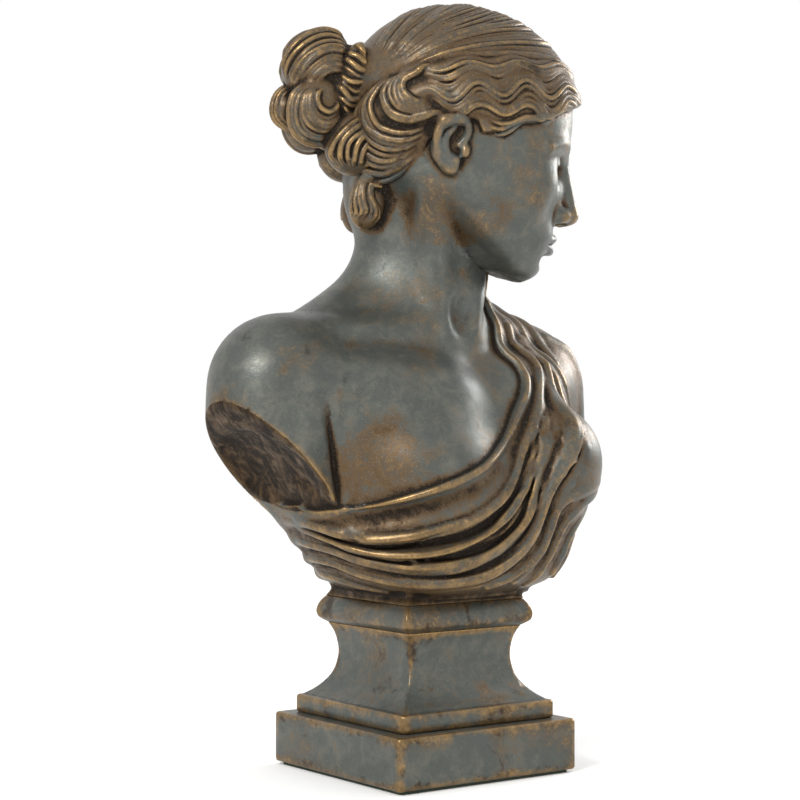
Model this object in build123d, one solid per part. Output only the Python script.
"""Draped bust of a young woman on a square socle, in hollow patinated bronze castings.

Frame: +Z up, the chest faces -Y, her right arm is on -X. The origin is the middle of the felt
under the plinth, where the bust stands. All sizes are in millimetres.

The chest, the head and the hair knot are three castings joined by spigots and pins. A threaded
tie rod hangs from a bar in the bust's foot and clamps the bust, cap, die and plinth together.
"""

import math
import os

from build123d import *

os.makedirs("parts", exist_ok=True)

# Driving dimensions
TOTAL_HEIGHT = 400.0  # felt to crown
WALL = 5.0  # bronze wall of the castings

# Socle: half widths and levels
PLINTH_HALF = 57.0
PLINTH_TOP = 28.0
STEP_HALF = 49.0
STEP_TOP = 37.5
DIE_FOOT_HALF = 46.2
DIE_WAIST_HALF = 32.6
DIE_WAIST_Z = 60.0
DIE_TOP_HALF = 36.6
DIE_TOP = 76.0
CAP_BULGE_HALF = 41.0
CAP_BULGE_Z = 81.8
CAP_TOP_HALF = 37.2
CAP_TOP = 90.0
EDGE_ROUND = 2.0
DIE_CORE_HALF = 26.0
DIE_CORE_TOP = 70.0

# Underside of the plinth
FELT_THICK = 1.5
FELT_HALF = 54.0
PLATE_THICK = 3.0
PLATE_HALF = 52.0
PLATE_GAP = 0.2
PLINTH_CORE_HALF = 50.0
PLINTH_DECK = 7.0  # bronze left above the core
LUG_HALF = 7.0
LUG_AT = 43.0

# Tie rod and its hardware
ROD_R = 4.0
THREAD_GAP = 0.05
ROD_BOTTOM, ROD_TOP = 8.0, 113.0
ROD_HOLE_R = 4.5
NUT_ACROSS_FLATS = 13.0
NUT_HIGH = 6.5
WASHER_R = 12.0
WASHER_THICK = 1.6
SPRING_WASHER_R = 7.4
SPRING_SLOT = 1.2

# Anchor bar across the bust's foot
BAR_LOW, BAR_HIGH = 95.0, 101.0
BAR_HALF_LONG, BAR_HALF_WIDE = 30.5, 8.0
BAR_SCREW_AT = 25.5
BAR_LUG_TOP = 111.0
BAR_LUG_IN = 20.0

# Pins
DOWEL_R, DOWEL_LONG = 1.5, 10.0
PIN_R, PIN_GAP = 1.6, 0.02
KNOT_PIN_R, KNOT_PIN_LONG = 2.0, 20.0

# The chest's own turn about Z, to her left
CHEST_TURN = 9.0

# Torso sections from the foot up: level, centre x, centre y, half width, half depth,
# squareness, turn
TORSO = [
    (CAP_TOP, 0, 0, 36.6, 36.6, 6.0, 0.0),
    (93, 0.5, 0, 40, 39, 5.0, 0.0),
    (98, 3, -3, 60, 52, 2.8, CHEST_TURN),
    (106, 3, -3, 71, 60, 2.5, CHEST_TURN),
    (120, 2, -4, 80, 64, 2.3, CHEST_TURN),
    (140, 1, -3, 88, 67, 2.2, CHEST_TURN),
    (165, 0, 0, 91, 66, 2.2, CHEST_TURN),
    (190, 0, 6, 91, 60, 2.2, CHEST_TURN),
    (212, 0, 13, 84, 49, 2.2, CHEST_TURN),
    (230, 0, 14, 64, 42, 2.1, CHEST_TURN),
    (246, 1, 12, 46, 37, 2.0, CHEST_TURN),
    (258, 2, 9, 37, 33, 2.0, CHEST_TURN),
    (268, 3.5, 6.5, 32, 31, 2.0, CHEST_TURN),
]
BREASTS = [(47.0, -45.5, 162.0), (-28.0, -57.5, 162.0)]
BREAST_R = 27.0
BREAST_AXIS = (0.15, -0.95, -0.2)

# Shoulder girdle along the chest's own width: offset, level of the middle, radius
GIRDLE_AT = (0.0, 18.0)
GIRDLE = [
    (-106, 203, 28),
    (-93, 205, 33.5),
    (-72, 210, 37),
    (-36, 218, 43),
    (0, 218, 46),
    (36, 218, 43),
    (72, 210, 37),
    (93, 205, 33.5),
    (106, 203, 28),
]

# The cut upper arms, on her left; the right one is the mirror image before the chest turns
ARM_AT = (93.5, -1.0, 167.0)
ARM_AXIS = (0.20, 0.0, -0.98)
ARM_R, ARM_HALF_LONG = 36.0, 64.0
CUT_AT = (94.0, 0.0, 157.0)
CUT_NORMAL = (0.72, 0.0, -0.69)

# Neck and its joint
JOINT_Z = 268.0
JOINT_AT = (3.5, 6.5)
COLLAR_R = 24.0  # bore of the chest's neck collar
SPIGOT_GAP = 0.1
SPIGOT_LONG = 16.0
SPIGOT_WALL = 4.0
NECK_PIN_Z = 260.0
NECK = [(3.5, 6.5, JOINT_Z, 31.0), (7, 2, 285, 30.0), (12, -5, 308, 34.0)]

# Head: its middle, and how far it is turned to her left and bowed
HEAD_AT = (15.0, -11.5, TOTAL_HEIGHT - 67.0)
HEAD_YAW = 63.0
HEAD_BOW = 12.0
CRANIUM_AT, CRANIUM_HALF_LONG, CRANIUM_R = (-3.0, 0.0, 11.0), 63.0, 55.5
FACE_AT, FACE_R, FACE_HALF_HIGH = (22.0, 0.0, -22.0), 34.0, 51.0
NOSE_ROOT, NOSE_TIP, NOSE_R = (55.0, 0.0, -6.0), (63.0, 0.0, -27.0), 6.0
EAR_AT, EAR_HALF_HIGH, EAR_R = (-5.0, 45.0, -10.0), 15.0, 8.0
ROLL_AT, ROLL_R, ROLL_HALF_LONG = (-33.0, 33.0, -3.0), 24.0, 30.0
CURL_AT, CURL_R, CURL_HALF_LONG = (-36.0, -4.0, -48.0), 12.0, 18.0

# Hair knot: lobes in the head's own axes, as centre, direction, half length, radius
KNOT_LOBES = [
    ((-81.0, 6.0, 15.0), (0.3, 0.2, 0.9), 23.0, 19.0),
    ((-66.0, -10.0, 14.0), (0.0, -0.1, 1.0), 22.0, 14.0),
    ((-80.0, -12.0, -5.0), (0.1, 0.2, 1.0), 21.0, 16.0),
    ((-56.0, -14.0, -20.0), (1.0, 0.2, 0.3), 21.0, 17.0),
    ((-80.0, 14.0, -4.0), (0.1, 0.3, 1.0), 21.0, 16.0),
    ((-95.0, 2.0, -5.0), (0.1, 0.3, 1.0), 10.0, 8.0),
]
KNOT_SEAT_AT = (-54.0, 0.0, 8.0)  # the flat where the knot meets the head
KNOT_SEAT_TILT = -16.0
KNOT_NECK_R = 20.0
KNOT_PIN_SPREAD = 9.0


def head_place():
    """The head's own axes: x out of the face, y to her left, z to the crown."""
    turned = Location(HEAD_AT) * Rot(0, 0, HEAD_YAW - 90)
    return turned * Rot(0, HEAD_BOW, 0)


def chest_place():
    """The chest's own axes: x to her left, -y forward."""
    return Pos(*GIRDLE_AT, 0) * Rot(0, 0, CHEST_TURN)


def seat_place():
    """The knot's seat: x into the head, square to the seat."""
    return head_place() * Pos(KNOT_SEAT_AT) * Rot(0, KNOT_SEAT_TILT, 0)


def squircle(z, x, y, half_x, half_y, power, turn, count=24):
    """A closed smooth outline between an ellipse and a rounded square, by the superellipse formula."""
    t = math.radians(turn)
    points = []
    for i in range(count):
        a = 2 * math.pi * i / count
        c, s = math.cos(a), math.sin(a)
        u = half_x * math.copysign(abs(c) ** (2 / power), c)
        v = half_y * math.copysign(abs(s) ** (2 / power), s)
        points.append((x + u * math.cos(t) - v * math.sin(t), y + u * math.sin(t) + v * math.cos(t), z))
    return Wire([Edge.make_spline([Vector(*p) for p in points], periodic=True)])


def torso(inset):
    """The torso's skin moved in by inset."""
    wires = [squircle(z, x, y, a - inset, b - inset, n, t) for z, x, y, a, b, n, t in TORSO]
    return Solid.make_loft(wires)


def girdle(inset):
    """Shoulders and trapezius, lofted from one shoulder to the other."""
    wires = [
        Wire([Edge.make_circle(r - inset, Plane(origin=(x, 0, z), z_dir=(1, 0, 0)))])
        for x, z, r in GIRDLE
    ]
    return chest_place() * Solid.make_loft(wires)


def spheroid(at, axis, half_long, radius):
    """An ellipsoid of revolution about axis."""
    half = Face(
        Wire(
            [
                Edge.make_ellipse(
                    radius,
                    half_long,
                    plane=Plane.XZ,
                    start_angle=-90,
                    end_angle=90,
                ),
                Edge.make_line((0, 0, half_long), (0, 0, -half_long)),
            ]
        )
    )
    body = revolve(half, Axis.Z, 360)
    return Plane(origin=at, z_dir=axis).location * body


def mirrored(point, side):
    return (side * point[0], point[1], point[2])


def arm(side, inset):
    """The upper arm down to its slanting cut."""
    normal = Vector(*mirrored(CUT_NORMAL, side)).normalized()
    plane = Plane(origin=Vector(*mirrored(CUT_AT, side)) - normal * inset, z_dir=normal)
    beyond = plane.location * Box(160, 160, 120, align=(Align.CENTER, Align.CENTER, Align.MIN))
    limb = spheroid(
        mirrored(ARM_AT, side), mirrored(ARM_AXIS, side), ARM_HALF_LONG - inset, ARM_R - inset
    )
    return chest_place() * (limb - beyond)


def cylinder(x, y, low, high, radius):
    """An upright cylinder between two levels."""
    bottom = (Align.CENTER, Align.CENTER, Align.MIN)
    return Pos(x, y, low) * Cylinder(radius, high - low, align=bottom)


def block(x0, x1, y0, y1, z0, z1):
    return Pos((x0 + x1) / 2, (y0 + y1) / 2, (z0 + z1) / 2) * Box(x1 - x0, y1 - y0, z1 - z0)


def square_turned(profile):
    """A square moulding: the profile run along X and along Y, and what the two share."""
    across = extrude(profile, 80, both=True)
    return across & (Rot(0, 0, 90) * across)


def hex_nut(low):
    flats = RegularPolygon(NUT_ACROSS_FLATS / 2, 6, major_radius=False)
    return Pos(0, 0, low) * extrude(flats, NUT_HIGH) - cylinder(
        0, 0, low, low + NUT_HIGH, ROD_R + THREAD_GAP
    )


def dowel_places():
    """Middles of the locating dowels at the three faces of the socle."""
    faces = [(0, 34.0, CAP_TOP), (24.0, 0, DIE_TOP), (38.0, 0, PLINTH_TOP)]
    return [(s * x, s * y, z) for x, y, z in faces for s in (1, -1)]


def dowels(gap=0.0):
    half = DOWEL_LONG / 2
    return [
        cylinder(x, y, z - half - gap, z + half + gap, DOWEL_R + gap)
        for x, y, z in dowel_places()
    ]


def neck_pins(gap=0.0):
    """Three level pins through the collar into the spigot."""
    pins = []
    for turn in (30, 150, 270):
        place = Pos(JOINT_AT[0], JOINT_AT[1], NECK_PIN_Z) * Rot(0, 0, turn) * Rot(0, 90, 0)
        pins.append(
            place * cylinder(0, 0, COLLAR_R - SPIGOT_WALL + 0.5, COLLAR_R + WALL, PIN_R + gap)
        )
    return pins


def knot_pins(gap=0.0):
    """Two pins square through the seat of the hair knot."""
    half = KNOT_PIN_LONG / 2
    return [
        seat_place()
        * Pos(0, y, 0)
        * Rot(0, 90, 0)
        * cylinder(0, 0, -half - gap, half + gap, KNOT_PIN_R + gap)
        for y in (KNOT_PIN_SPREAD, -KNOT_PIN_SPREAD)
    ]


def bar_screws(gap=0.0):
    """Pan head screws that hold the anchor bar up to the lugs in the foot."""
    screws = []
    for side in (1, -1):
        x = side * BAR_SCREW_AT
        shank = cylinder(x, 0, BAR_LOW, BAR_LUG_TOP - 2, 2.5 + gap)
        head = cylinder(x, 0, BAR_LOW - 3.2, BAR_LOW, 4.4)
        screws.append(shank + head)
    return screws


def plate_screws(gap=0.0):
    """Countersunk screws that hold the base plate to the plinth's corner lugs."""
    screws = []
    low = FELT_THICK
    for x in (LUG_AT, -LUG_AT):
        for y in (LUG_AT, -LUG_AT):
            shank = cylinder(x, y, low + 2, low + 12, 1.8 + gap)
            cone = Pos(x, y, low + 1.1) * Cone(3.6 + gap, 1.8 + gap, 2.2)
            screws.append(shank + cone)
    return screws


def cut_all(body, tools):
    for tool in tools:
        body = body - tool
    return body


def chest_casting():
    """Shoulders, chest and drapery in one hollow casting, open at the foot and at the neck."""
    outer = torso(0) + girdle(0)
    core = torso(WALL) + girdle(WALL)
    for at in BREASTS:
        outer = outer + spheroid(at, BREAST_AXIS, BREAST_R + 1, BREAST_R)
    for side in (1, -1):
        outer = outer + arm(side, 0)
        core = core + arm(side, WALL)
    core = core - block(-90, 90, -90, 90, NECK_PIN_Z - 16, JOINT_Z + 40)
    for side in (1, -1):
        lug = block(BAR_LUG_IN, 70, -9, 9, BAR_HIGH, BAR_LUG_TOP)
        core = core - (lug if side > 0 else lug.mirror(Plane.YZ))
    collar = cylinder(*JOINT_AT, NECK_PIN_Z - 18, JOINT_Z, COLLAR_R)
    body = outer - core - collar
    return cut_all(body, [*dowels(PIN_GAP), *neck_pins(PIN_GAP), *bar_screws(PIN_GAP)])


def neck(inset):
    wires = [Wire([Edge.make_circle(r - inset, Plane(origin=(x, y, z)))]) for x, y, z, r in NECK]
    return Solid.make_loft(wires)


def head_casting():
    """Head and neck in one hollow casting with a spigot that drops into the chest's collar."""
    place = head_place()
    outer = place * spheroid(CRANIUM_AT, (1, 0, 0), CRANIUM_HALF_LONG, CRANIUM_R)
    outer = outer + place * spheroid(FACE_AT, (0.2, 0, -1), FACE_HALF_HIGH, FACE_R)
    for side in (1, -1):
        roll = (ROLL_AT[0], side * ROLL_AT[1], ROLL_AT[2])
        ear = (EAR_AT[0], side * EAR_AT[1], EAR_AT[2])
        outer = outer + place * spheroid(roll, (1, 0, 0.2), ROLL_HALF_LONG, ROLL_R)
        outer = outer + place * spheroid(ear, (0.2, 0, 1), EAR_HALF_HIGH, EAR_R)
    middle = tuple((a + b) / 2 for a, b in zip(NOSE_ROOT, NOSE_TIP))
    along = tuple(b - a for a, b in zip(NOSE_ROOT, NOSE_TIP))
    outer = outer + place * spheroid(middle, along, math.dist(NOSE_ROOT, NOSE_TIP) / 2 + 4, NOSE_R)
    outer = outer + place * spheroid(CURL_AT, (0.3, 0, -1), CURL_HALF_LONG, CURL_R)
    outer = outer + neck(0)
    core = place * spheroid(
        CRANIUM_AT, (1, 0, 0), CRANIUM_HALF_LONG - WALL, CRANIUM_R - WALL
    )
    core = core + neck(WALL + 6)
    outer = outer - seat_place() * block(-90, 0, -70, 70, -50, 70)
    core = core - seat_place() * block(-90, WALL, -70, 70, -50, 70)
    spigot_r = COLLAR_R - SPIGOT_GAP
    spigot = cylinder(*JOINT_AT, JOINT_Z - SPIGOT_LONG, JOINT_Z + 3, spigot_r)
    bore = cylinder(*JOINT_AT, JOINT_Z - SPIGOT_LONG, JOINT_Z + 12, spigot_r - SPIGOT_WALL)
    body = (outer - core) + spigot - bore
    return cut_all(body, [*neck_pins(PIN_GAP), *knot_pins(PIN_GAP)])


def hair_knot():
    """The knot of coiled hair behind the head, a solid casting with a flat seat."""
    place = head_place()
    body = seat_place() * spheroid((-8, 0, 0), (-1, 0, 0), 18, KNOT_NECK_R)
    for at, axis, half_long, radius in KNOT_LOBES:
        body = body + place * spheroid(at, axis, half_long, radius)
    body = body - seat_place() * block(0, 90, -70, 70, -70, 70)
    return cut_all(body, knot_pins(PIN_GAP))


def socle_cap():
    """The half round moulding under the bust's foot."""
    with BuildSketch(Plane.XZ) as profile:
        with BuildLine():
            Line((0, DIE_TOP), (DIE_TOP_HALF, DIE_TOP))
            Line((DIE_TOP_HALF, DIE_TOP), (DIE_TOP_HALF + 1.2, DIE_TOP + 0.8))
            ThreePointArc(
                (DIE_TOP_HALF + 1.2, DIE_TOP + 0.8),
                (CAP_BULGE_HALF, CAP_BULGE_Z),
                (CAP_TOP_HALF, CAP_TOP),
            )
            Line((CAP_TOP_HALF, CAP_TOP), (0, CAP_TOP))
            Line((0, CAP_TOP), (0, DIE_TOP))
        make_face()
        mirror(about=Plane.YZ)
    body = square_turned(profile.sketch) - cylinder(0, 0, DIE_TOP, CAP_TOP, ROD_HOLE_R)
    return cut_all(body, dowels(PIN_GAP))


def socle_die():
    """The hollow sided block with its step, cored from below."""
    with BuildSketch(Plane.XZ) as profile:
        with BuildLine():
            Line((0, STEP_TOP - 1), (DIE_FOOT_HALF, STEP_TOP - 1))
            Line((DIE_FOOT_HALF, STEP_TOP - 1), (DIE_FOOT_HALF, STEP_TOP))
            Spline(
                (DIE_FOOT_HALF, STEP_TOP),
                (DIE_WAIST_HALF, DIE_WAIST_Z),
                (DIE_TOP_HALF, DIE_TOP),
                tangents=[(-1, 0.55), (0.75, 1)],
            )
            Line((DIE_TOP_HALF, DIE_TOP), (0, DIE_TOP))
            Line((0, DIE_TOP), (0, STEP_TOP - 1))
        make_face()
        mirror(about=Plane.YZ)
    step = block(-STEP_HALF, STEP_HALF, -STEP_HALF, STEP_HALF, PLINTH_TOP, STEP_TOP)
    step = fillet(step.edges().filter_by(Axis.Z) + step.edges().group_by(Axis.Z)[-1], EDGE_ROUND)
    h = DIE_CORE_HALF
    core = block(-h, h, -h, h, PLINTH_TOP, DIE_CORE_TOP)
    core = fillet(core.edges().filter_by(Axis.Z), 4)
    body = square_turned(profile.sketch) + step - core
    body = body - cylinder(0, 0, DIE_CORE_TOP, DIE_TOP, ROD_HOLE_R)
    return cut_all(body, dowels(PIN_GAP))


def plinth():
    """The square slab, cored from below, with corner lugs and a rebate for the base plate."""
    p, low = PLINTH_HALF, FELT_THICK
    body = block(-p, p, -p, p, low, PLINTH_TOP)
    body = fillet(body.edges().filter_by(Axis.Z) + body.edges().group_by(Axis.Z)[-1], EDGE_ROUND)
    c = PLINTH_CORE_HALF
    core = block(-c, c, -c, c, low, PLINTH_TOP - PLINTH_DECK)
    for x in (LUG_AT, -LUG_AT):
        for y in (LUG_AT, -LUG_AT):
            core = core - block(
                x - LUG_HALF, x + LUG_HALF, y - LUG_HALF, y + LUG_HALF, low, PLINTH_TOP
            )
    r = PLATE_HALF + PLATE_GAP
    body = body - core - block(-r, r, -r, r, low, low + PLATE_THICK)
    body = body - cylinder(0, 0, PLINTH_TOP - PLINTH_DECK, PLINTH_TOP, ROD_HOLE_R)
    return cut_all(body, [*dowels(PIN_GAP), *plate_screws(PIN_GAP)])


def base_plate():
    """The plate that closes the plinth's underside."""
    h, low = PLATE_HALF, FELT_THICK
    body = block(-h, h, -h, h, low, low + PLATE_THICK)
    body = fillet(body.edges().filter_by(Axis.Z), 1)
    return cut_all(body, plate_screws(PIN_GAP))


def felt_pad():
    h = FELT_HALF
    pad = block(-h, h, -h, h, 0, FELT_THICK)
    return fillet(pad.edges().filter_by(Axis.Z), 3)


def anchor_bar():
    body = block(-BAR_HALF_LONG, BAR_HALF_LONG, -BAR_HALF_WIDE, BAR_HALF_WIDE, BAR_LOW, BAR_HIGH)
    body = fillet(body.edges().filter_by(Axis.Z), 2)
    body = body - cylinder(0, 0, BAR_LOW, BAR_HIGH, ROD_R + THREAD_GAP)
    return cut_all(body, bar_screws(PIN_GAP))


def tie_rod():
    rod = cylinder(0, 0, ROD_BOTTOM, ROD_TOP, ROD_R)
    return chamfer(rod.edges(), 0.8)


def washer(low, outer, thick):
    return cylinder(0, 0, low, low + thick, outer) - cylinder(0, 0, low, low + thick, ROD_R + 0.2)


def spring_washer(low):
    """A split ring under the nut."""
    slot = block(0, SPRING_WASHER_R + 1, -SPRING_SLOT / 2, SPRING_SLOT / 2, low, low + WASHER_THICK)
    return washer(low, SPRING_WASHER_R, WASHER_THICK) - slot


WASHER_LOW = PLINTH_TOP - PLINTH_DECK - WASHER_THICK
SPRING_LOW = WASHER_LOW - WASHER_THICK

NODES = {
    "chest_casting": chest_casting(),
    "head_casting": head_casting(),
    "hair_knot": hair_knot(),
    "neck_pins": Compound(neck_pins()),
    "knot_pins": Compound(knot_pins()),
    "anchor_bar": anchor_bar(),
    "anchor_screws": Compound(bar_screws()),
    "tie_rod": tie_rod(),
    "lock_nut": hex_nut(BAR_HIGH),
    "socle_cap": socle_cap(),
    "socle_die": socle_die(),
    "plinth": plinth(),
    "locating_dowels": Compound(dowels()),
    "plinth_washer": washer(WASHER_LOW, WASHER_R, WASHER_THICK),
    "spring_washer": spring_washer(SPRING_LOW),
    "plinth_nut": hex_nut(SPRING_LOW - NUT_HIGH),
    "base_plate": base_plate(),
    "base_plate_screws": Compound(plate_screws()),
    "felt_pad": felt_pad(),
}

for name, shape in NODES.items():
    export_step(shape, f"parts/{name}.step")
    print(name, len(shape.solids()), shape.bounding_box())
